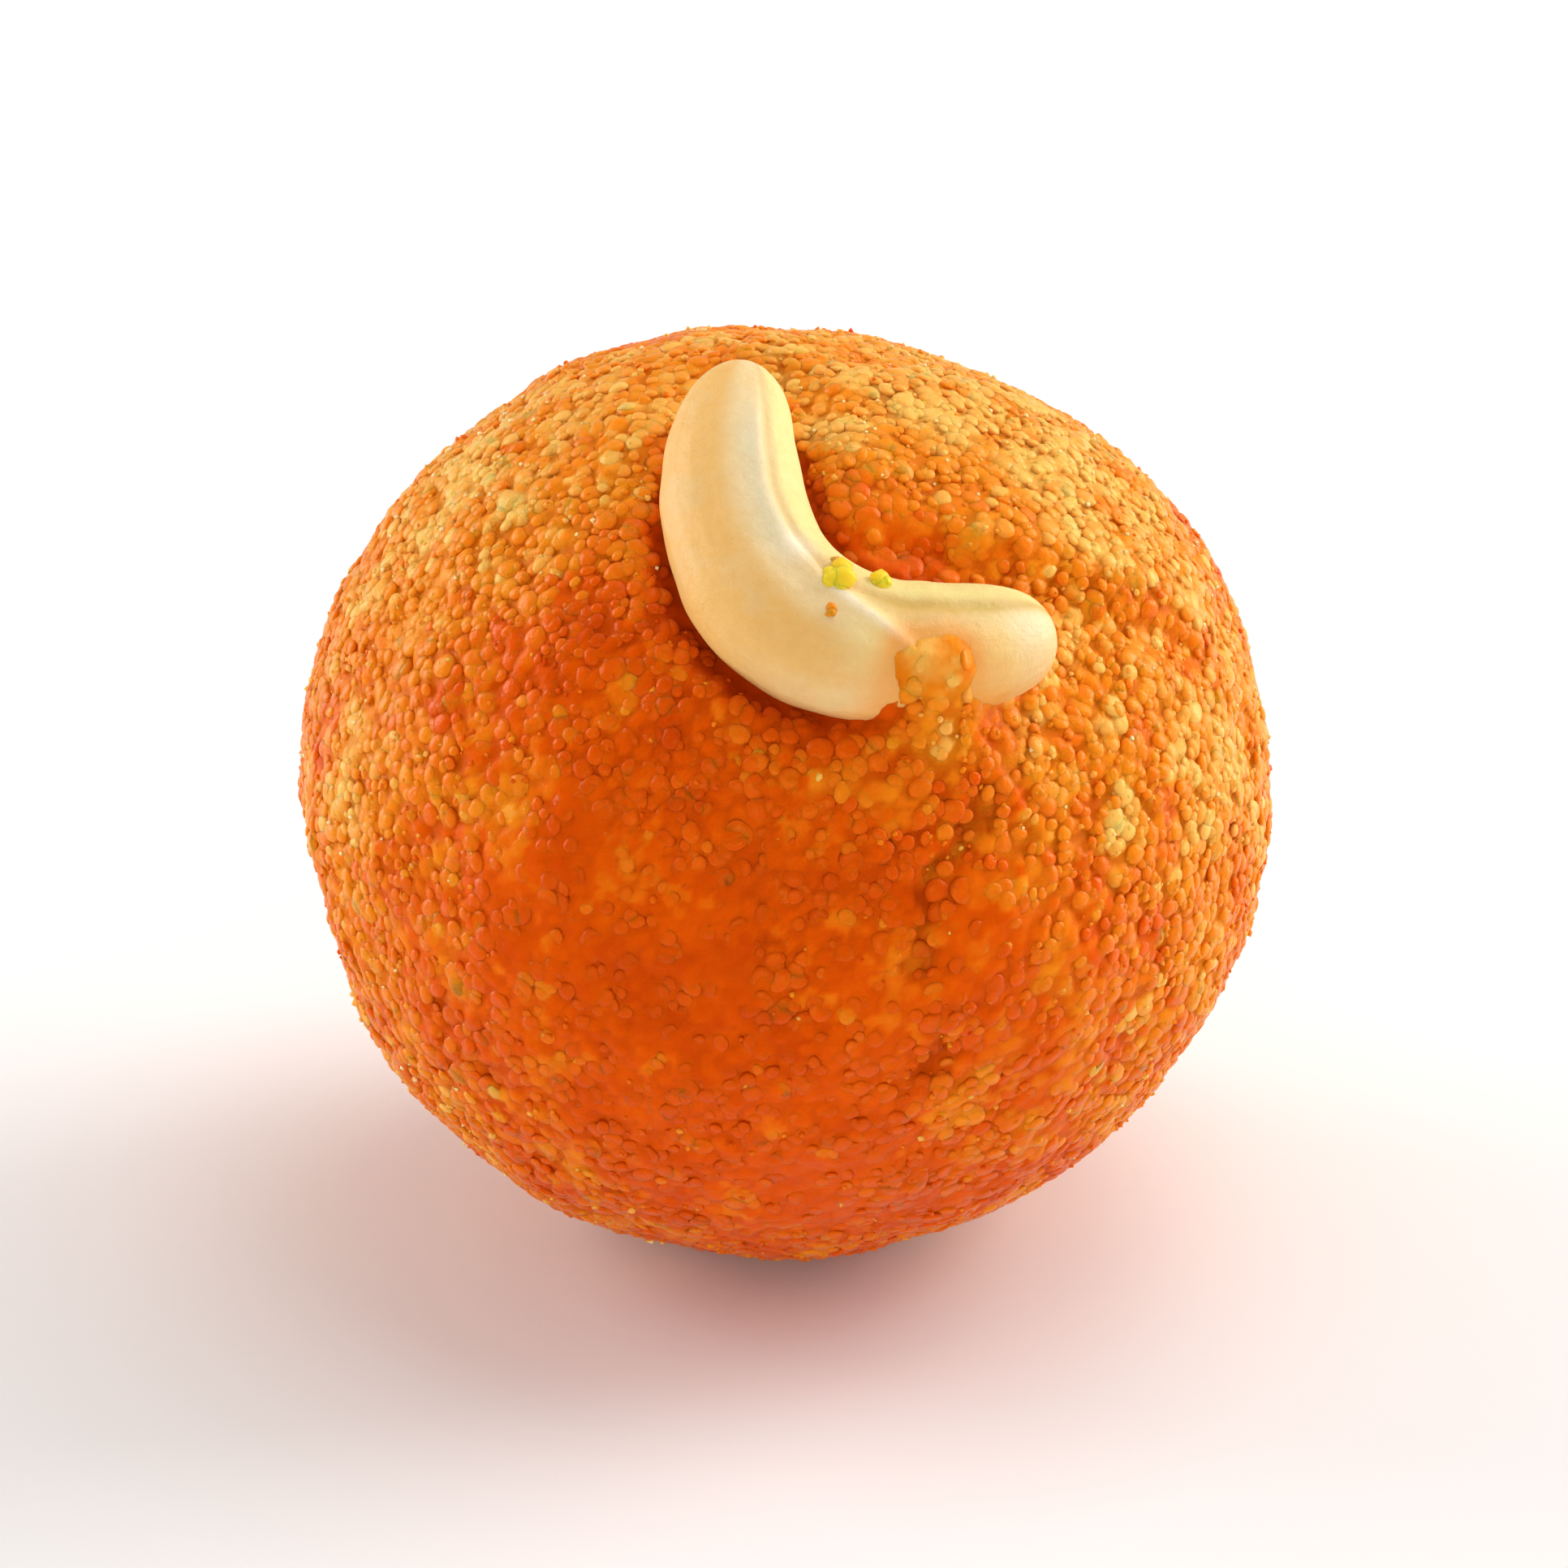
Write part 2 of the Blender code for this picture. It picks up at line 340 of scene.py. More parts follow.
# smear: the strongest of the patches' bells, with waves; 1 where the pearls are a paste, 0 where round
def smear(directions):
    total = np.zeros(len(directions))
    for azimuth, elevation, spread, strength in smearing["patches"]:
        total = np.maximum(total, strength * spot(directions, azimuth, elevation, spread))
    edges = waves(directions * ballRadius, *smearing["waves"]) * (total > smearing["edge"])
    return np.clip(total + edges, 0.0, 1.0)


# tint and painted light shift: the sum of the patches' bells
def tintAndPaintedLightShift(directions):
    total = np.zeros(len(directions))
    for azimuth, elevation, spread, change in tinting["patches"]:
        total += change * spot(directions, azimuth, elevation, spread)
    return total


# ground tint: golden, deeper where smeared, partly as painted shade, with waves and the patches above, some
# of them painted light and shade
def groundTint(directions):
    drift = waves(directions * ballRadius, *tinting["drift"])
    return tinting["ground"] - tinting["smearLoss"] * smear(directions) + drift + tintAndPaintedLightShift(directions)


# cracks: valleys along lines on the ball, as deep as the bell of the distance to the line
cracks = {
    "lines": (
        ((-54, 30), (-65, 20.5), 0.16, 0.5),  # start, end, depth and half-width in mm
        ((-65, 20.5), (-72, 13.5), 0.34, 0.55),
        ((-72, 13.5), (-75.5, 4), 0.3, 0.5),
        ((-71, -7), (-74, -11), 0.24, 0.6),
        ((-94, 14), (-91.5, 7), 0.15, 0.45),
        ((-136, -8), (-128, -17), 0.26, 0.45),
        ((62, 24), (75, 9), 0.3, 0.5),
        ((150, 30), (163, 22), 0.28, 0.5),
        ((10, -14), (22, -22), 0.28, 0.5),
    ),
    "waver": (10, 0.12 * mm, 6 * mm, 1.5 * mm),
    "waverHeading": (1.0, 0.6, -0.8),
}


# the lines waver, because the points looked up are shifted by waves
def crackDepth(directions):
    surface = directions * ballRadius
    surface = surface + waves(surface, *cracks["waver"])[:, None] * np.array(cracks["waverHeading"])
    total = np.zeros(len(directions))
    for start, end, depth, halfWidth in cracks["lines"]:
        total = np.maximum(total, depth * mm * bell(lineDistance(surface, start, end), halfWidth * mm))
    return total


def newObject(name, data):
    thing = bpy.data.objects.new(name, data)
    bpy.context.scene.collection.objects.link(thing)
    return thing


# puts points and face tables (one table for each number of corners) into a new object
def newPiece(name, points, faceTables, material, slot="pressed_boondi", **attributes):
    mesh = bpy.data.meshes.new(name)
    mesh.vertices.add(len(points))
    mesh.vertices.foreach_set("co", points.astype(np.float32).ravel())
    corners = np.concatenate([table.ravel() for table in faceTables])
    widths = np.concatenate([np.full(len(table), table.shape[1]) for table in faceTables])
    starts = np.concatenate(([0], np.cumsum(widths)[:-1]))
    mesh.loops.add(len(corners))
    mesh.loops.foreach_set("vertex_index", corners.astype(np.int32))
    mesh.polygons.add(len(widths))
    mesh.polygons.foreach_set("loop_start", starts.astype(np.int32))
    mesh.update(calc_edges=True)
    mesh.validate()
    mesh.shade_smooth()
    for label, values in attributes.items():
        layer = mesh.attributes.new(label, "FLOAT", "POINT")
        layer.data.foreach_set("value", values.astype(np.float32))
    mesh.materials.append(material)
    piece = newObject(name, mesh)
    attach(piece, "root")
    print(name, len(points), "points", int((widths - 2).sum()), "triangles")
    return piece


# copies of a shape in one new object; attributes are for all, for each copy or for each point
def newCopies(name, world, faces, material, **attributes):
    copies, corners = world.shape[:2]
    table = (faces + (np.arange(copies) * corners)[:, None, None]).reshape(-1, faces.shape[1])
    for label, values in attributes.items():
        attributes[label] = np.broadcast_to(values, (copies, corners)).ravel()
    newPiece(name, world.reshape(-1, 3), [table], material, **attributes)


# copies set down: each shape's points along its own three axes, out from its own centre
def setDown(shape, axes, centres):
    first, second, third = axes
    world = shape[..., 0:1] * first[:, None, :] + shape[..., 1:2] * second[:, None, :]
    return world + (shape[..., 2:3] * third[:, None, :] + centres[:, None, :])


def ballShape(subdivisions):
    shape = bmesh.new()
    bmesh.ops.create_icosphere(shape, subdivisions=subdivisions, radius=1.0)
    points = np.array([vertex.co for vertex in shape.verts])
    faces = np.array([[vertex.index for vertex in face.verts] for face in shape.faces])
    shape.free()
    return points, faces


def randomDirections(count):
    return unit(dice.normal(size=(count, 3)))


# random factors round 1, with the given largest change
def varied(change, *size):
    return 1 + dice.uniform(-change, change, size=size)


# local frame of each copy: two tangents turned by a random angle, and the form's normal, tilted a little
def localFrames(normals, tilt):
    normals = unit(normals + tilt * dice.normal(size=normals.shape))
    first = unit(np.cross(randomDirections(len(normals)), normals))
    return first, np.cross(normals, first), normals


def nodeOf(tree, kind, **settings):
    node = tree.nodes.new(kind)
    for label, value in settings.items():
        setattr(node, label, value)
    return node


def readAttribute(tree, label):
    return nodeOf(tree, "ShaderNodeAttribute", attribute_name=label).outputs["Fac"]


def rampOf(tree, source, stops):
    ramp = tree.nodes.new("ShaderNodeValToRGB")
    elements = ramp.color_ramp.elements
    while len(elements) < len(stops):
        elements.new(0.5)
    for element, (place, colour) in zip(elements, stops):
        element.position = place
        element.color = (*colour, 1.0)
    tree.links.new(source, ramp.inputs["Fac"])
    return ramp.outputs["Color"]


def noiseOf(tree, scale, detail, roughness=0.5):
    place = tree.nodes.new("ShaderNodeTexCoord")
    noise = tree.nodes.new("ShaderNodeTexNoise")
    noise.inputs["Scale"].default_value = scale
    noise.inputs["Detail"].default_value = detail
    noise.inputs["Roughness"].default_value = roughness
    tree.links.new(place.outputs["Object"], noise.inputs["Vector"])
    return noise.outputs["Fac"]


# each socket takes a link, a colour or a number
def fill(tree, sockets, values):
    for socket, value in zip(sockets, values):
        if isinstance(value, bpy.types.NodeSocket):
            tree.links.new(value, socket)
        else:
            socket.default_value = (*value, 1.0) if isinstance(value, tuple) else value


def mixOf(tree, share, first, second, blend="MIX"):
    mix = nodeOf(tree, "ShaderNodeMix", data_type="RGBA", blend_type=blend)
    fill(tree, (mix.inputs[0], mix.inputs[6], mix.inputs[7]), (share, first, second))
    return mix.outputs[2]


def mathOf(tree, operation, first, second=0.0, third=0.0):
    node = nodeOf(tree, "ShaderNodeMath", operation=operation)
    fill(tree, node.inputs, (first, second, third))
    return node.outputs["Value"]


# a look gives constants and, where there is one, a grain of noise and its bump
def newMaterial(name, look, changes):
    material = bpy.data.materials.new(name)
    material.use_nodes = True
    tree = material.node_tree
    shader = tree.nodes["Principled BSDF"]
    for label, value in {**look["constants"], **changes}.items():
        shader.inputs[label].default_value = value
    if "grain" in look:
        bump = tree.nodes.new("ShaderNodeBump")
        bump.inputs["Strength"].default_value, bump.inputs["Distance"].default_value = look["bump"]
        tree.links.new(noiseOf(tree, *look["grain"]), bump.inputs["Height"])
        tree.links.new(bump.outputs["Normal"], shader.inputs["Normal"])
    return material, tree, shader


black = (0.0, 0.0, 0.0)
white = (1.0, 1.0, 1.0)

boondiLook = {
    # colours by tint: deep, orange, golden, pale
    "colours": (
        (0.1, (0.61, 0.059, 0.0006)),
        (0.42, (0.76, 0.096, 0.0009)),
        (0.75, (0.88, 0.258, 0.0085)),
        (1.0, (0.94, 0.49, 0.1)),
    ),
    # patches and specks that shift the tint: scale, detail, roughness, amount
    "mottling": ((170, 4, 0.65, 0.24), (1300, 2, 0.6, 0.22)),
    # painted shade: the crevice share darkens and reddens the colour where the rise is low
    "crevice": (0.67, 0.59, 0.42),  # share of the colour left in the crevices
    "creviceShadeEnd": 0.8,  # rise above which a crevice no longer shows
    "roughness": (0.28, 0.62),  # on the pearls' tops, in the crevices
    "grain": (2300.0, 3.0, 0.65),  # scale, detail, roughness
    "bump": (0.6, 0.12 * mm),  # strength, distance
    "constants": {
        "Specular IOR Level": 0.24,
        "Specular Tint": (1.0, 0.42, 0.06, 1.0),
        "Subsurface Weight": 0.5,
        "Subsurface Radius": (1.0, 0.28, 0.05),
        "Subsurface Scale": 0.4 * mm,
        "Coat Weight": 0.02,
        "Coat Roughness": 0.1,
        "Sheen Weight": 0.09,
        "Sheen Roughness": 0.4,
        "Sheen Tint": (1.0, 0.6, 0.1, 1.0),
    },
    # the paste between the pearls is duller than they are
    "pasteChanges": {"Specular IOR Level": 0.08, "Coat Weight": 0.0, "Sheen Weight": 0.0},
}


# boondi colour: deep, orange, golden or pale by pearl and patch, with painted shade that makes it darker and
# redder in the crevices
def boondiMaterial(name, changes):
    material, tree, shader = newMaterial(name, boondiLook, changes)
    shade = readAttribute(tree, "tint")
    for scale, detail, rough, amount in boondiLook["mottling"]:
        shift = mathOf(tree, "SUBTRACT", noiseOf(tree, scale, detail, rough), 0.5)
        shade = mathOf(tree, "ADD", shade, mathOf(tree, "MULTIPLY", shift, amount))
    top = rampOf(tree, shade, boondiLook["colours"])
    # painted shade: by the rise, the colour is multiplied down towards the crevice share
    height = rampOf(tree, readAttribute(tree, "rise"), ((0.0, black), (boondiLook["creviceShadeEnd"], white)))
    left = mixOf(tree, height, boondiLook["crevice"], white)
    tree.links.new(mixOf(tree, 1.0, top, left, "MULTIPLY"), shader.inputs["Base Color"])
    smooth, rough = boondiLook["roughness"]
    roughness = mathOf(tree, "MULTIPLY_ADD", height, smooth - rough, rough)
    tree.links.new(roughness, shader.inputs["Roughness"])
    return material


# pearls: soft lumps side by side, their tops near the form and flattened where it is smeared
pearls = {
    "count": 14500,
    "largest": 0.7 * mm,
    "smallest": 0.3 * mm,
    "sizeLean": 1.4,  # over 1, small ones are more
    "jitter": 0.2 * mm,
    "flatness": 0.8,  # height over width
    "topLift": 0.03 * mm,
    "topSink": 2,  # topLifts lost where smeared
    "unevenLift": (0.045 * mm, 0.6),  # spread, share of it lost where smeared
    "unevenTint": 0.052,
    "golden": (0.09, 0.24, 0.7),  # share that are lighter, by how much, share of it lost where smeared
    "buried": 0.62,  # share of the pearls that the paste has swallowed where smeared
    "lumps": (3, 1.9, 0.06),  # waves over each pearl: count, fineness, height
    "unevenWidth": 0.16,
    "unevenFlatness": 0.15,
    "ceiling": (0.92, 0.42),  # share of the height that is kept, share of it lost where smeared
    "ceilingSoftness": 0.06 * mm,
    "tilt": 0.1,
    "clearance": 1.04,  # least distance to the kernel, as a share of its radius
    "lowest": 0.1 * mm,
    # kinds by least radius
    "kinds": (
        ("roundPearls", 0.555 * mm),
        ("largePearls", 0.485 * mm),
        ("middlePearls", 0.422 * mm),
        ("smallPearls", 0.368 * mm),
        ("finePearls", 0.0),
    ),
    # pearls that stand out: azimuth, elevation, radius in mm, tint, lift in mm
    "lone": (
        (-71, 57, 0.5, 0.66, 0.2),
        (-60.5, 45.5, 0.46, 0.92, 0.1),
        (-57, 33, 0.52, 0.98, 0.1),
        (-50, 33.5, 0.5, 0.95, 0.1),
        (-53.5, 29.5, 0.47, 0.93, 0.08),
        (-128, -20, 0.56, 0.85, 0.08),
        (-48, -18, 0.58, 0.9, 0.08),
    ),
}


# radii: the smallest plus the difference to the largest times a power of a random share
def randomRadii(settings, count):
    shares = dice.random(count) ** settings["sizeLean"]
    return settings["smallest"] + (settings["largest"] - settings["smallest"]) * shares


# dome: a pole, a ring of six, two rings of twelve and a point underneath; 32 points, 60 faces
def domeShape():
    points = [np.array((0.0, 0.0, 1.0))]
    for count, polar, shift in ((6, 27.0, 0.0), (12, 55.0, 0.0), (12, 86.0, 0.5)):
        around = (np.arange(count) + shift) * 2 * math.pi / count
        level, rise = math.sin(math.radians(polar)), math.cos(math.radians(polar))
        points.append(np.column_stack((level * np.cos(around), level * np.sin(around), np.full(count, rise))))
    points.append(np.array((0.0, 0.0, -0.6)))
    six, twelve = np.arange(6), np.arange(12)
    upper, middle, lower = 1 + six, 7 + twelve, 19 + twelve
    nextUpper, nextMiddle, nextLower = (np.roll(ring, -1) for ring in (upper, middle, lower))
    faces = [
        (np.zeros(6, dtype=int), upper, nextUpper),
        (upper, middle[::2], middle[1::2]),
        (upper, middle[1::2], nextUpper),
        (nextUpper, middle[1::2], nextMiddle[1::2]),
        (middle, lower, nextMiddle),
        (nextMiddle, lower, nextLower),
        (lower, np.full(12, lower[-1] + 1), nextLower),
    ]
    return np.vstack(points), np.concatenate([np.column_stack(face) for face in faces])


# pearl places: on the spiral, then each jittered
def packPearls():
    count = pearls["count"]
    jitter = dice.normal(0.0, pearls["jitter"] / ballRadius, size=(count, 3))
    directions = unit(spiral(count, 0.5)[0] + jitter)
    places = formPoints(directions)
    radii = randomRadii(pearls, count)
    smeared = smear(directions)
    tints = groundTint(directions) + dice.normal(0.0, pearls["unevenTint"], count)
    share, lighter, fading = pearls["golden"]
    tints += np.where(dice.random(count) < share, lighter, 0.0) * (1 - fading * smeared)
    spread, fading = pearls["unevenLift"]
    lifts = pearls["topLift"] * (1 - pearls["topSink"] * smeared)
    lifts += dice.normal(0.0, spread, count) * (1 - fading * smeared)
    # each lone pearl takes the place of the nearest pearl
    for azimuth, elevation, radius, tint, lift in pearls["lone"]:
        nearest = (directions @ direction(azimuth, elevation)).argmax()
        radii[nearest], lifts[nearest] = radius * mm, lift * mm
        tints[nearest], smeared[nearest] = tint, 0.0
    packed = {"directions": directions, "places": places, "radii": radii, "lifts": lifts}
    return {**packed, "smeared": smeared, "tints": np.clip(tints, 0.0, 1.0)}


# relief: a soft maximum of the pearls' domes, so that syrup fills the crevices between them
relief = {
    "cell": 1.3 * mm,
    "softness": 0.05 * mm,
    "below": 0.035 * mm,  # how far the paste stays under the pearls' tops
    "deepest": -0.26 * mm,
    # painted shade: tint lost at the bottom of the crevices
    "creviceShadeTint": 0.05,  # lost at the bottom
    "smeared": 0.65,  # share of the relief lost where smeared
    "riseDepth": 0.32 * mm,  # depth at which the rise has fallen to nothing
}


# the pearls near a point are found through a table of the cells of a cubic grid
def reliefAt(directions, points, packed):
    cell, soft = relief["cell"], relief["softness"]
    both = np.concatenate((points, packed["places"]))
    corner = both.min(0) - 2 * cell
    shape = np.ceil((both.max(0) - corner) / cell).astype(int) + 3
    homes = np.floor((packed["places"] - corner) / cell).astype(int)
    keys = np.ravel_multi_index(homes.T, shape)
    order = np.argsort(keys, kind="stable")
    firsts = np.searchsorted(keys[order], keys[order])
    ranks = np.arange(len(keys)) - firsts
    table = np.full((shape.prod(), ranks.max() + 1), -1)
    table[keys[order], ranks] = order
    cells = np.floor((points - corner) / cell).astype(int)
    weights = np.full(len(points), math.exp(relief["deepest"] / soft))
    # painted shade: the deepest places start from a lower tint
    tints = weights * (groundTint(directions) - relief["creviceShadeTint"])
    for offset in np.ndindex(3, 3, 3):
        near = np.ravel_multi_index((cells + np.array(offset) - 1).T, shape)
        for slot in range(table.shape[1]):
            pearl = table[near, slot]
            rows = np.nonzero(pearl >= 0)[0]
            pearl = pearl[rows]
            gap = points[rows] - packed["places"][pearl]
            share = np.sqrt((gap * gap).sum(1)) / packed["radii"][pearl]
            close = share < 1.0
            rows, pearl, share = rows[close], pearl[close], share[close]
            drop = packed["radii"][pearl] * pearls["flatness"] * (1 - np.sqrt(1 - share**2))
            weight = np.exp((packed["lifts"][pearl] - relief["below"] - drop) / soft)
            weights[rows] += weight
            tints[rows] += weight * packed["tints"][pearl]
    return soft * np.log(weights), tints / weights


# rise: 1 at the form and above it, 0 at the bottom of a crevice
def riseOf(height):
    return np.clip(1.0 + height / relief["riseDepth"], 0.0, 1.0)


# the gap round the kernel, and painted contact shade that lowers the tint beside it; none where paste laps
# over or against it
moatAndShade = {
    "spread": 0.25,  # as a share of the kernel's radius
    "gap": 0.52 * mm,
    # painted contact shade: tint lost next to the kernel
    "contactShadeLoss": 0.42,
    "lipWidth": 3.2 * mm,
    "lapLine": ((-70, 33), (-50, 33.5)),  # under the side arm: start, end
    "lapWidth": 2.0 * mm,
}


# share beside the kernel: 1 at the kernel's skin, falling as a bell over about a millimetre; it carries the
# gap and the painted contact shade
def moatShadeShare(points):
    surface = unit(points - ballCentre) * ballRadius
    lip = bell(lineDistance(surface, *lipLine), moatAndShade["lipWidth"])
    lap = bell(lineDistance(surface, *moatAndShade["lapLine"]), moatAndShade["lapWidth"])
    return bell(np.maximum(kernelShare(points) - 1.0, 0.0), moatAndShade["spread"]) * (1 - np.maximum(lip, lap))


# skin height over the form: the pearls' relief, flatter where smeared, less the cracks and the gap round the
# kernel, whose tint gets painted contact shade
def skinHeight(directions, points, packed):
    height, tints = reliefAt(directions, points, packed)
    height *= 1 - relief["smeared"] * smear(directions)
    nearKernel = moatShadeShare(points)
    # the tint beside the kernel loses painted contact shade
    return height - crackDepth(directions) - moatAndShade["gap"] * nearKernel**2, tints - moatAndShade["contactShadeLoss"] * nearKernel


# core: a cube's six square grids pushed out to the form, with the crevices between the pearls
core = {"cells": 128, "crumble": (30, 0.012 * mm, 2.4 * mm, 0.8 * mm)}


# cube sphere: grid corners on a cube, spread evenly by the tangent and brought to unit length
def cubeSphere(cells):
    steps = np.arange(cells + 1)
    first, second = np.meshgrid(steps, steps, indexing="ij")
    square = np.arange((cells + 1) ** 2).reshape(cells + 1, cells + 1)
    corners, grids = [], []
    for axis in range(3):
        for side in (0, cells):
            lattice = np.zeros((cells + 1, cells + 1, 3), dtype=np.int64)
            lattice[..., axis] = side
            lattice[..., (axis + 1) % 3] = first if side else second
            lattice[..., (axis + 2) % 3] = second if side else first
            index = square + len(corners) * square.size
            quads = np.stack((index[:-1, :-1], index[1:, :-1], index[1:, 1:], index[:-1, 1:]), axis=-1)
            corners.append(lattice.reshape(-1, 3))
            grids.append(quads.reshape(-1, 4))
    lattice, place = np.unique(np.concatenate(corners), axis=0, return_inverse=True)
    cube = np.tan((lattice / cells * 2 - 1) * math.pi / 4)
    return unit(cube), place.ravel()[np.concatenate(grids)]


def buildCore(material, packed):
    directions, quads = cubeSphere(core["cells"])
    points = formPoints(directions)
    height, tints = skinHeight(directions, points, packed)
    points += formNormals(directions) * (height + waves(points, *core["crumble"]))[:, None]
    points[:, 2] = np.maximum(points[:, 2], 0.0)
    piece = newPiece("pressedCore", points, [quads], material, rise=riseOf(height), tint=tints)
    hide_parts("ladoo")


# pearl shapes: the dome with lumps of its own, stretched, flattened and lifted to its height
def pearlPoints(template, packed):
    count = len(packed["radii"])
    waveCount, fineness, lumpHeight = pearls["lumps"]
    swell = np.ones((count, len(template)))
    for _ in range(waveCount):
        headings = dice.normal(size=(count, 3)) * fineness
        phases = dice.random(count) * 2 * math.pi
        swell += lumpHeight * np.sin(headings @ template.T + phases[:, None])
    widths = varied(pearls["unevenWidth"], count, 2)
    flatness = pearls["flatness"] * varied(pearls["unevenFlatness"], count)
    scales = packed["radii"][:, None] * np.column_stack((widths, flatness))
    shape = template[None, :, :] * swell[:, :, None] * scales[:, None, :]
    # the palm's flattening: heights near the top are held under a soft ceiling
    kept, lost = pearls["ceiling"]
    soft = pearls["ceilingSoftness"]
    ceiling = scales[:, 2] * (kept - lost * packed["smeared"])
    under = (ceiling[:, None] - shape[..., 2]) / soft
    shape[..., 2] = ceiling[:, None] - soft * np.logaddexp(0.0, under)
    shape[..., 2] += (packed["lifts"] - shape[..., 2].max(1))[:, None]
    return shape


# pearls in the kernel's place, under the floor or swallowed by the paste are left out
def buildPearls(material, packed):
    normals = formNormals(packed["directions"])
    tops = packed["places"] + normals * pearls["topLift"]
    seen = (kernelShare(tops) > pearls["clearance"]) & (packed["places"][:, 2] > pearls["lowest"])
    seen &= dice.random(len(seen)) > pearls["buried"] * packed["smeared"]
    packed = {label: values[seen] for label, values in packed.items()}
    normals = normals[seen]
    nearKernel = moatShadeShare(packed["places"])
    sunk = crackDepth(packed["directions"]) + moatAndShade["gap"] * nearKernel**2
    template, faces = domeShape()
    shape = pearlPoints(template, packed)
    frames = localFrames(normals, pearls["tilt"])
    world = setDown(shape, frames, packed["places"] - normals * sunk[:, None])
    world[..., 2] = np.maximum(world[..., 2], 0.0)
    rise = riseOf(shape[..., 2] - sunk[:, None])
    # painted contact shade: pearls beside the kernel get a lower tint
    tints = (packed["tints"] - moatAndShade["contactShadeLoss"] * nearKernel)[:, None]
    upper = np.inf
    for name, lower in pearls["kinds"]:
        kind = (packed["radii"] >= lower) & (packed["radii"] < upper)
        upper = lower
        newCopies(name, world[kind], faces, material, rise=rise[kind], tint=tints[kind])


# crumbs: broken bits of pearl in the crevices and on the rough places
crumbs = {
    "count": 3600,
    "largest": 0.2 * mm,
    "smallest": 0.1 * mm,
    "sizeLean": 2,
    "leftOut": 0.25,  # share left out on the rough places; all are where smeared
    "lift": (0.0, 0.2),  # above the skin, and more as a share of the size
    "clearance": 1.06,
    "lowest": 0.4 * mm,
    "broken": 0.32,
    "uneven": 0.25,
    "tilt": 0.5,
    "tint": (0.12, 0.16),  # mean change, spread
}


# strewn bits: out from the skin by a length and a share of the size, none in the kernel or too low
def strew(settings, directions, packed):
    directions = directions[:settings["count"]]
    points = formPoints(directions)
    normals = formNormals(directions)
    height, tints = skinHeight(directions, points, packed)
    radii = randomRadii(settings, len(points))
    lift, lean = settings["lift"]
    centres = points + normals * (height + lift + lean * radii)[:, None]
    kept = (kernelShare(centres) > settings["clearance"]) & (centres[:, 2] > settings["lowest"])
    return centres[kept], normals[kept], radii[kept], tints[kept]


# each corner of a small ball moves in or out on its own, which makes a broken bit of it
def buildCrumbs(material, packed):
    directions = randomDirections(crumbs["count"] * 2)
    leftOut = crumbs["leftOut"] + (1 - crumbs["leftOut"]) * smear(directions)
    directions = directions[dice.random(len(directions)) > leftOut]
    centres, normals, radii, tints = strew(crumbs, directions, packed)
    count = len(radii)
    template, faces = ballShape(1)
    shape = template * varied(crumbs["broken"], count, len(template), 1)
    shape = shape * radii[:, None, None] * varied(crumbs["uneven"], count, 1, 3)
    world = setDown(shape, localFrames(normals, crumbs["tilt"]), centres)
    tints = np.clip(tints + dice.normal(*crumbs["tint"], count), 0.0, 1.0)
    newCopies("crumbs", world, faces, material, rise=1.0, tint=tints[:, None])


# sugar grains: tiny cubes of dried syrup that glint on the rough places
sugar = {
    "count": 300,
    "largest": 0.13 * mm,
    "smallest": 0.07 * mm,
    "sizeLean": 1.5,
    "share": 0.55,  # share kept where not smeared or tinted
    "goldenPull": 2,  # more are kept where the tint is lighter
    "lift": (0.05 * mm, 0.3),
    "clearance": 1.05,
    "lowest": 0.4 * mm,
    "halfEdge": 0.75,  # as a share of the size
    "uneven": 0.18,
    "tilt": 0.9,
    "grain": (5000.0, 2.0),  # scale, detail
    "bump": (0.2, 0.02 * mm),  # strength, distance
    "constants": {
        "Base Color": (0.95, 0.66, 0.26, 1.0),
        "Roughness": 0.12,
        "Subsurface Weight": 0.6,
        "Subsurface Radius": (1.0, 0.7, 0.4),
        "Subsurface Scale": 0.2 * mm,
        "Coat Weight": 0.5,
        "Coat Roughness": 0.05,
    },
}


def buildSugar(material, packed):
    directions = randomDirections(sugar["count"] * 4)
    weight = sugar["share"] - smear(directions) + tintAndPaintedLightShift(directions) * sugar["goldenPull"]
    directions = directions[dice.random(len(directions)) < np.clip(weight, 0.0, 1.0)]
    centres, normals, radii = strew(sugar, directions, packed)[:3]
    corners = np.array([(x, y, z) for x in (-1, 1) for y in (-1, 1) for z in (-1, 1)]) * sugar["halfEdge"]
    sides = np.array(((0, 1, 3, 2), (4, 6, 7, 5), (0, 4, 5, 1), (2, 3, 7, 6), (0, 2, 6, 4), (1, 5, 7, 3)))
    shape = corners * varied(sugar["uneven"], len(radii), len(corners), 3) * radii[:, None, None]
    world = setDown(shape, localFrames(normals, sugar["tilt"]), centres)
    newCopies("sugarGrains", world, sides, material)


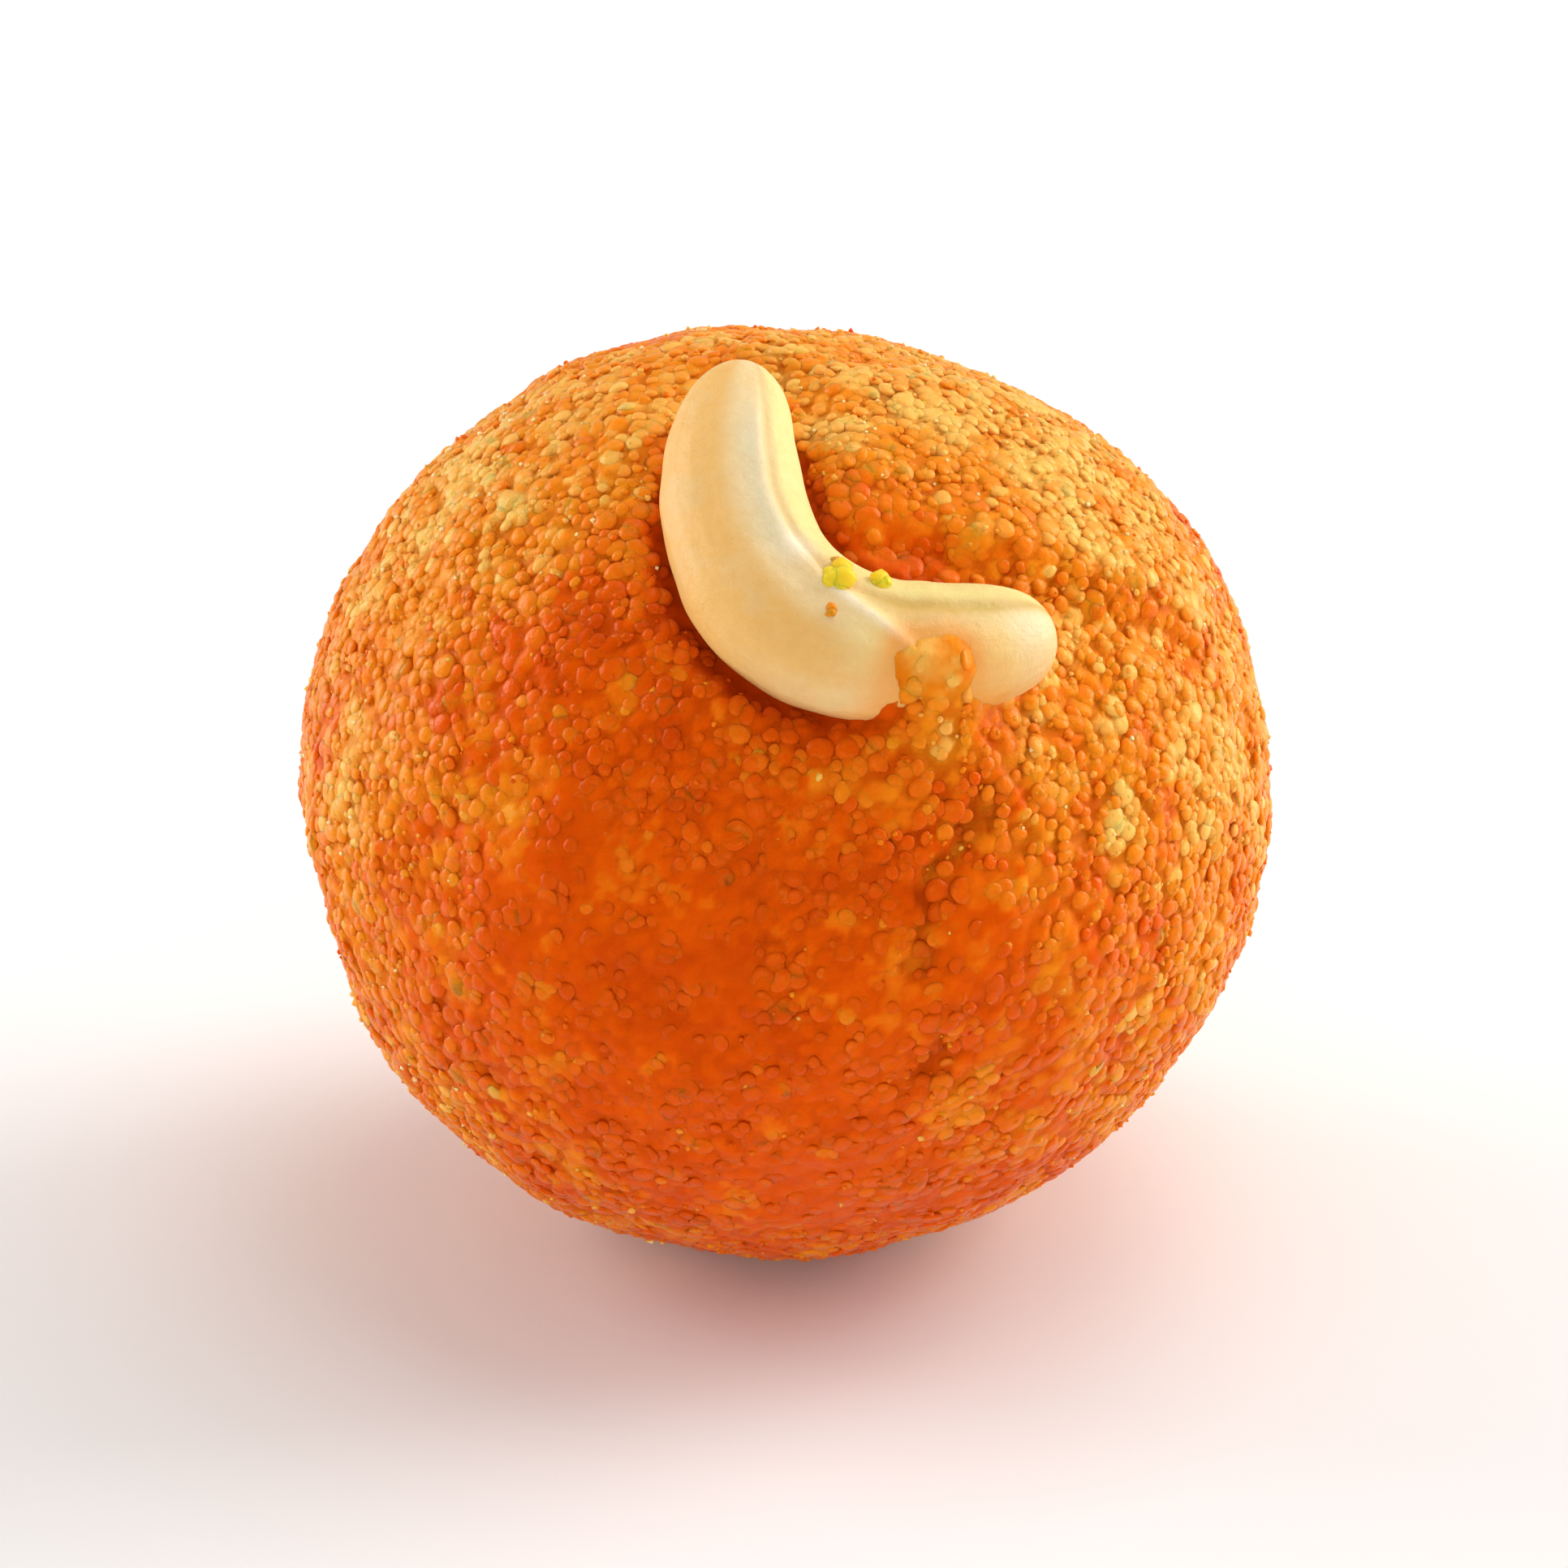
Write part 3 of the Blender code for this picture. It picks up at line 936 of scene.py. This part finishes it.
cashewLook = {
    "ivory": (0.86, 0.63, 0.3),
    # colours laid over the ivory, in this order, each by the attribute of its name
    "layers": {
        # peach: partly the nut's own tone, partly painted shade on the flanks turned from the light
        "peach": (0.86, 0.485, 0.12),
        # milk: partly painted light on the strip by the ridge that faces the light
        "milk": (0.74, 0.64, 0.4),
        "butter": (0.88, 0.72, 0.26),
        # olive: painted shade in the groove
        "oliveGrooveShade": (0.68, 0.45, 0.09),
        # white: painted highlights on the high spots
        "white": (0.92, 0.8, 0.58),
        "stain": (0.9, 0.34, 0.03),
    },
    "clouds": (420.0, 4.0, 0.6),  # scale, detail, roughness
    "cloudSpread": 1.4,
    "cloudShare": 0.4,
    "freckles": (1400.0, 5.0, 0.7),
    "freckleColours": ((0.3, (0.93, 0.86, 0.74)), (0.62, white)),
    "freckleShare": 0.6,
    "grain": (1300.0, 6.0, 0.72),
    "bump": (0.7, 0.22 * mm),  # strength, distance
    "constants": {
        "Roughness": 0.5,
        "Subsurface Weight": 0.25,
        "Subsurface Radius": (1.0, 0.6, 0.3),
        "Subsurface Scale": 0.6 * mm,
        "Coat Weight": 0.1,
        "Coat Roughness": 0.3,
    },
}


# cashew colour: ivory with the layers over it, their edges clouded, and freckles over all
def cashewMaterial():
    material, tree, shader = newMaterial("cashewNut", cashewLook, {})
    spread = cashewLook["cloudSpread"]
    cloudy = mathOf(tree, "MULTIPLY_ADD", noiseOf(tree, *cashewLook["clouds"]), spread, -spread / 2)
    colour = cashewLook["ivory"]
    for label, layer in cashewLook["layers"].items():
        share = mathOf(tree, "MULTIPLY_ADD", cloudy, cashewLook["cloudShare"], readAttribute(tree, label))
        share.node.use_clamp = True
        colour = mixOf(tree, share, colour, layer)
    freckles = rampOf(tree, noiseOf(tree, *cashewLook["freckles"]), cashewLook["freckleColours"])
    freckled = mixOf(tree, cashewLook["freckleShare"], colour, freckles, "MULTIPLY")
    tree.links.new(freckled, shader.inputs["Base Color"])
    return material


# an angle along the kernel: straight lines through a table, their corners rounded by averaging three
def angleAlong(table, along):
    shift = kernel["angleRounding"]
    return sum(np.interp(along + step, *table) for step in (-shift, 0.0, shift)) / 3


# stretch: 1 between an opening and a closing on the line, each a smooth step
def stretch(along, opening, closing):
    return (smoothStep(*opening, along) * smoothStep(*closing, along))[:, None]


# kernel skin: across the centre line each section is an ellipse with a ridge, a shelf and a groove on it,
# and lengthwise wrinkles as sines round the section that drift along the line
def kernelSkin(along, around):
    line, away = kernelLine(along)
    outward = kernelAxes()[2]
    degrees = np.degrees(around)[None, :]
    fromRidge = np.abs(degrees) - angleAlong(kernel["ridgeAngles"], along)[:, None]
    fromGroove = np.abs(degrees) - angleAlong(kernel["grooveAngles"], along)[:, None]
    front = stretch(along, *kernel["frontHalf"])
    height, spread = kernel["ridge"]
    section = 1 + front * height * bell(fromRidge, spread)
    height, spread = kernel["groove"]
    section += stretch(along, *kernel["split"]) * height * bell(fromGroove, spread)
    loss, low, high = kernel["shelf"]
    section += front * loss * smoothStep(low, high, fromRidge)
    height, spread = kernel["seam"]
    section += height * bell(np.abs(degrees) - 180, spread)
    drift = along[:, None] * kernel["drift"]
    for height, count, drifting, start, beat in kernel["wrinkles"]:
        wrinkle = height * np.sin(count * around + drifting * drift + start)
        section += wrinkle * np.sin(beat * drift) if beat else wrinkle
    size = kernelTaper(along)[:, None] * section
    across = size * np.cos(around) * threeWay(kernel["halfWidths"], along)[:, None]
    rise = size * np.sin(around) * threeWay(kernel["halfThicknesses"], along)[:, None]
    spokes = across[..., None] * away[:, None, :] + rise[..., None] * outward
    points = (line[:, None, :] + spokes).reshape(-1, 3)
    lumps = 1 + waves(points, *kernel["lumps"]).reshape(len(along), -1, 1)
    return line[:, None, :] + spokes * lumps, fromRidge, fromGroove


# kernel colours: smooth steps and bells of the place on the line and of the angle round the section
def kernelShares(along, around, fromRidge, fromGroove):
    degrees = np.degrees(around)[None, :]
    side = smoothStep(0.58, 0.72, along)[:, None]
    arm = smoothStep(0.7, 0.82, along)[:, None]
    tip = smoothStep(0.88, 0.95, along)[:, None]
    front = smoothStep(-4.0, -12.0, fromGroove)
    # peach on the outer flank, partly the nut's own tone and partly painted shade on the side turned from the
    # light; less under the elbow, where that is painted light, and on the side arm, whose lower half has its
    # own, also partly painted shade
    under = bell(along - 0.6, 0.12)[:, None] * smoothStep(40.0, 10.0, np.abs(degrees))
    peach = smoothStep(-14.0, -38.0, fromRidge) * (1 - 0.6 * side) * (1 - 0.7 * under)
    peach = peach + 0.9 * arm * (1 - 0.5 * tip) * smoothStep(95.0, 60.0, degrees)
    # a milky strip by the ridge of the upper arm, partly painted light where the arm faces the light
    milk = 0.85 * bell(fromRidge + 4, 12.0) * stretch(along, (0.05, 0.14), (0.5, 0.34))
    # butter yellow past the groove, and some on the front of the side arm
    butter = smoothStep(2.0, 12.0, fromGroove)
    butter = butter + (0.7 - 0.4 * arm) * side * front * smoothStep(30.0, 60.0, degrees)
    # olive painted shade in the groove, wider on the side arm
    oliveGrooveShade = side * bell(fromGroove, 11.0) + 0.5 * (1 - side) * bell(fromGroove, 5.0)
    # painted highlights in white on the high spots: the crook, the ridge at the elbow and the side tip
    crook = bell(along - 0.4, 0.05)[:, None] * bell(degrees - 108, 12.0)
    elbow = 0.8 * bell(fromRidge, 4.0) * stretch(along, (0.5, 0.6), (0.76, 0.72))
    sideTip = 0.42 * bell(along - 0.95, 0.04)[:, None] * bell(degrees - 68, 26.0)
    shares = {"peach": peach, "milk": milk, "butter": butter, "oliveGrooveShade": oliveGrooveShade}
    shares["white"] = crook + elbow + sideTip
    return {label: np.clip(value, 0.0, 1.0) for label, value in shares.items()}


# syrup stain on the kernel: share near the boondi and over what depth, then beside the lip
stain = {"share": 0.25, "depth": 0.6 * mm, "lipShare": 0.6, "lipDepth": 1.4 * mm, "lipWidth": 3.4 * mm}


# stain share: bells of the depth at which the skin lies in the form
def stainShare(points):
    radial = points - ballCentre
    reach = np.linalg.norm(radial, axis=1)
    directions = radial / reach[:, None]
    depth = np.maximum(reach - formRadius(directions), 0.0)
    nearLip = bell(lineDistance(directions * ballRadius, *lipLine), stain["lipWidth"])
    share = stain["share"] * bell(depth, stain["depth"])
    share += stain["lipShare"] * nearLip * bell(depth, stain["lipDepth"])
    return np.clip(share, 0.0, 1.0)


# kernel mesh: rings of the skin, closer together at the tips by a cosine, and a fan at each tip
def buildKernel(material):
    rings, sides = kernel["rings"], kernel["sides"]
    along = (1 - np.cos(np.linspace(0.0, 1.0, rings + 1)[1:-1] * math.pi)) / 2
    around = np.linspace(-math.pi, math.pi, sides, endpoint=False)
    grid, fromRidge, fromGroove = kernelSkin(along, around)
    points = np.concatenate((grid.reshape(-1, 3), kernelLine(np.array((0.0, 1.0)))[0]))
    index = np.arange((rings - 1) * sides).reshape(rings - 1, sides)
    nextSide = np.roll(index, -1, axis=1)
    quads = np.stack((index[:-1], index[1:], nextSide[1:], nextSide[:-1]), axis=-1).reshape(-1, 4)
    last = len(points) - 1
    crownFan = np.stack((np.full(sides, last - 1), index[0], nextSide[0]), axis=-1)
    sideFan = np.stack((np.full(sides, last), nextSide[-1], index[-1]), axis=-1)
    attributes = {"stain": stainShare(points)}
    for label, values in kernelShares(along, around, fromRidge, fromGroove).items():
        attributes[label] = np.concatenate((values.ravel(), (values[0].mean(), values[-1].mean())))
    piece = newPiece("cashewKernel", points, [quads, crownFan, sideFan], material, "cashew", **attributes)
    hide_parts("cashew")


# stuck bits: crumbs on the kernel, each a few round lumps; along the line, angle, size, how many lumps
stuckBits = {
    "yellow": ((0.55, 105.0, 0.72 * mm, 9), (0.68, 124.0, 0.42 * mm, 4)),
    "orange": ((0.578, 80.0, 0.3 * mm, 4), (0.505, 126.0, 0.24 * mm, 3)),
    "yellowChanges": {"Base Color": (0.92, 0.61, 0.03, 1.0), "Roughness": 0.3},
    "yellowLook": {**boondiLook, "bump": (0.4, 0.05 * mm)},
    "orangeTint": 0.8,
    "scatter": 0.32,  # of the lumps, as a share of the size
    "lumpSizes": (0.6, 1.0),
    "uneven": 0.2,
    "waves": (6, 0.06, 2.2, 0.9),  # lengths as shares of a lump's radius
}


def buildStuckBits(material, name, bits):
    template, faces = ballShape(2)
    lumps = []
    for along, degrees, size, count in bits:
        place = kernelSkin(np.array([along]), np.array([math.radians(degrees)]))[0][0, 0]
        for _ in range(count):
            centre = place + dice.normal(size=3) * size * stuckBits["scatter"]
            lump = template * (1 + waves(template + dice.random(3) * 9, *stuckBits["waves"])[:, None])
            lump = lump * size * dice.uniform(*stuckBits["lumpSizes"])
            lumps.append(centre + lump * varied(stuckBits["uneven"], 3))
    newCopies(name, np.array(lumps), faces, material, rise=1.0, tint=stuckBits["orangeTint"])


# stage: a pale floor that curves up behind, in metres
stage = {
    "floorHalf": 1.6,
    "wallHeight": 1.4,
    "bend": 0.35,
    "bendSteps": 16,
    "back": 1.0,
    "drop": 0.05 * mm,  # below the object
    "constants": {"Base Color": (0.86, 0.85, 0.83, 1.0), "Roughness": 0.55},
}


# the floor's profile, flat then a quarter circle then upright, is carried from left to right
def buildStage():
    bend, back, half = stage["bend"], stage["back"], stage["floorHalf"]
    profile = [(-half, 0.0)]
    for turn in np.linspace(0.0, math.pi / 2, stage["bendSteps"]):
        profile.append((back - bend + bend * math.sin(turn), bend - bend * math.cos(turn)))
    profile.append((back, stage["wallHeight"]))
    points = [(x, y, z - stage["drop"]) for y, z in profile for x in (-half, half)]
    index = np.arange(len(points)).reshape(-1, 2)
    quads = np.stack((index[:-1, 0], index[:-1, 1], index[1:, 1], index[1:, 0]), axis=-1)
    mesh = bpy.data.meshes.new("floor")
    mesh.from_pydata(points, [], quads.tolist())
    mesh.shade_smooth()
    mesh.materials.append(newMaterial("paleFloor", stage, {})[0])
    floor = newObject("floor", mesh)


# lights: soft boxes above, on both sides and in front, all turned to the ball's centre
lights = {
    "boxes": (
        ("topBox", (0.12, 0.1, 0.5), (0.4, 0.4), 1.0),  # name, place, size, watts
        ("leftBox", (-0.44, 0.18, 0.16), (0.3, 0.4), 1.9),
        ("rightBox", (0.44, 0.16, 0.22), (0.3, 0.4), 2.5),
        ("frontFill", (-0.12, -0.74, 0.16), (0.56, 0.4), 2.3),
    ),
    "surroundings": 0.35,
}


def turnedTo(target, place):
    return (Vector(target) - Vector(place)).to_track_quat("-Z", "Y").to_euler()


def buildLights():
    for name, place, size, power in lights["boxes"]:
        light = bpy.data.lights.new(name, "AREA")
        light.shape = "RECTANGLE"
        light.size, light.size_y = size
        light.energy = power
        lamp = newObject(name, light)
        lamp.location = place
        lamp.rotation_euler = turnedTo(ballCentre, place)
        lamp.visible_camera = False
    world = bpy.data.worlds.new("softWhite")
    bpy.context.scene.world = world
    world.use_nodes = True
    background = world.node_tree.nodes["Background"]
    background.inputs["Color"].default_value = (*white, 1.0)
    background.inputs["Strength"].default_value = lights["surroundings"]


# camera: looks down at the middle of the ball
view = {"elevation": 25.0, "distance": 0.434, "lens": 200.0, "clip": (0.01, 10.0)}


def buildCamera():
    low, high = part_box("ladoo")
    target = Vector((0.0, 0.0, (low[2] + high[2]) / 2))
    elevation = math.radians(view["elevation"])
    camera = newObject("camera", bpy.data.cameras.new("camera"))
    camera.data.lens = view["lens"]
    camera.data.clip_start, camera.data.clip_end = view["clip"]
    camera.location = target + Vector((0.0, -math.cos(elevation), math.sin(elevation))) * view["distance"]
    camera.rotation_euler = turnedTo(target, camera.location)
    bpy.context.scene.camera = camera


buildCamera()
buildStage()
buildLights()
bpy.context.scene.view_settings.view_transform = "Standard"
print("camera, floor and lights set")
boondi = boondiMaterial("boondi", {})
paste = boondiMaterial("boondiPaste", boondiLook["pasteChanges"])
packed = packPearls()
print("pearls packed", len(packed["radii"]))
buildCore(paste, packed)
buildPearls(boondi, packed)
buildCrumbs(boondi, packed)
buildSugar(newMaterial("driedSyrup", sugar, {})[0], packed)
buildKernel(cashewMaterial())
buildStuckBits(boondi, "stuckCrumbs", stuckBits["orange"])
yellow = newMaterial("yellowBoondi", stuckBits["yellowLook"], stuckBits["yellowChanges"])[0]
buildStuckBits(yellow, "yellowCrumb", stuckBits["yellow"])
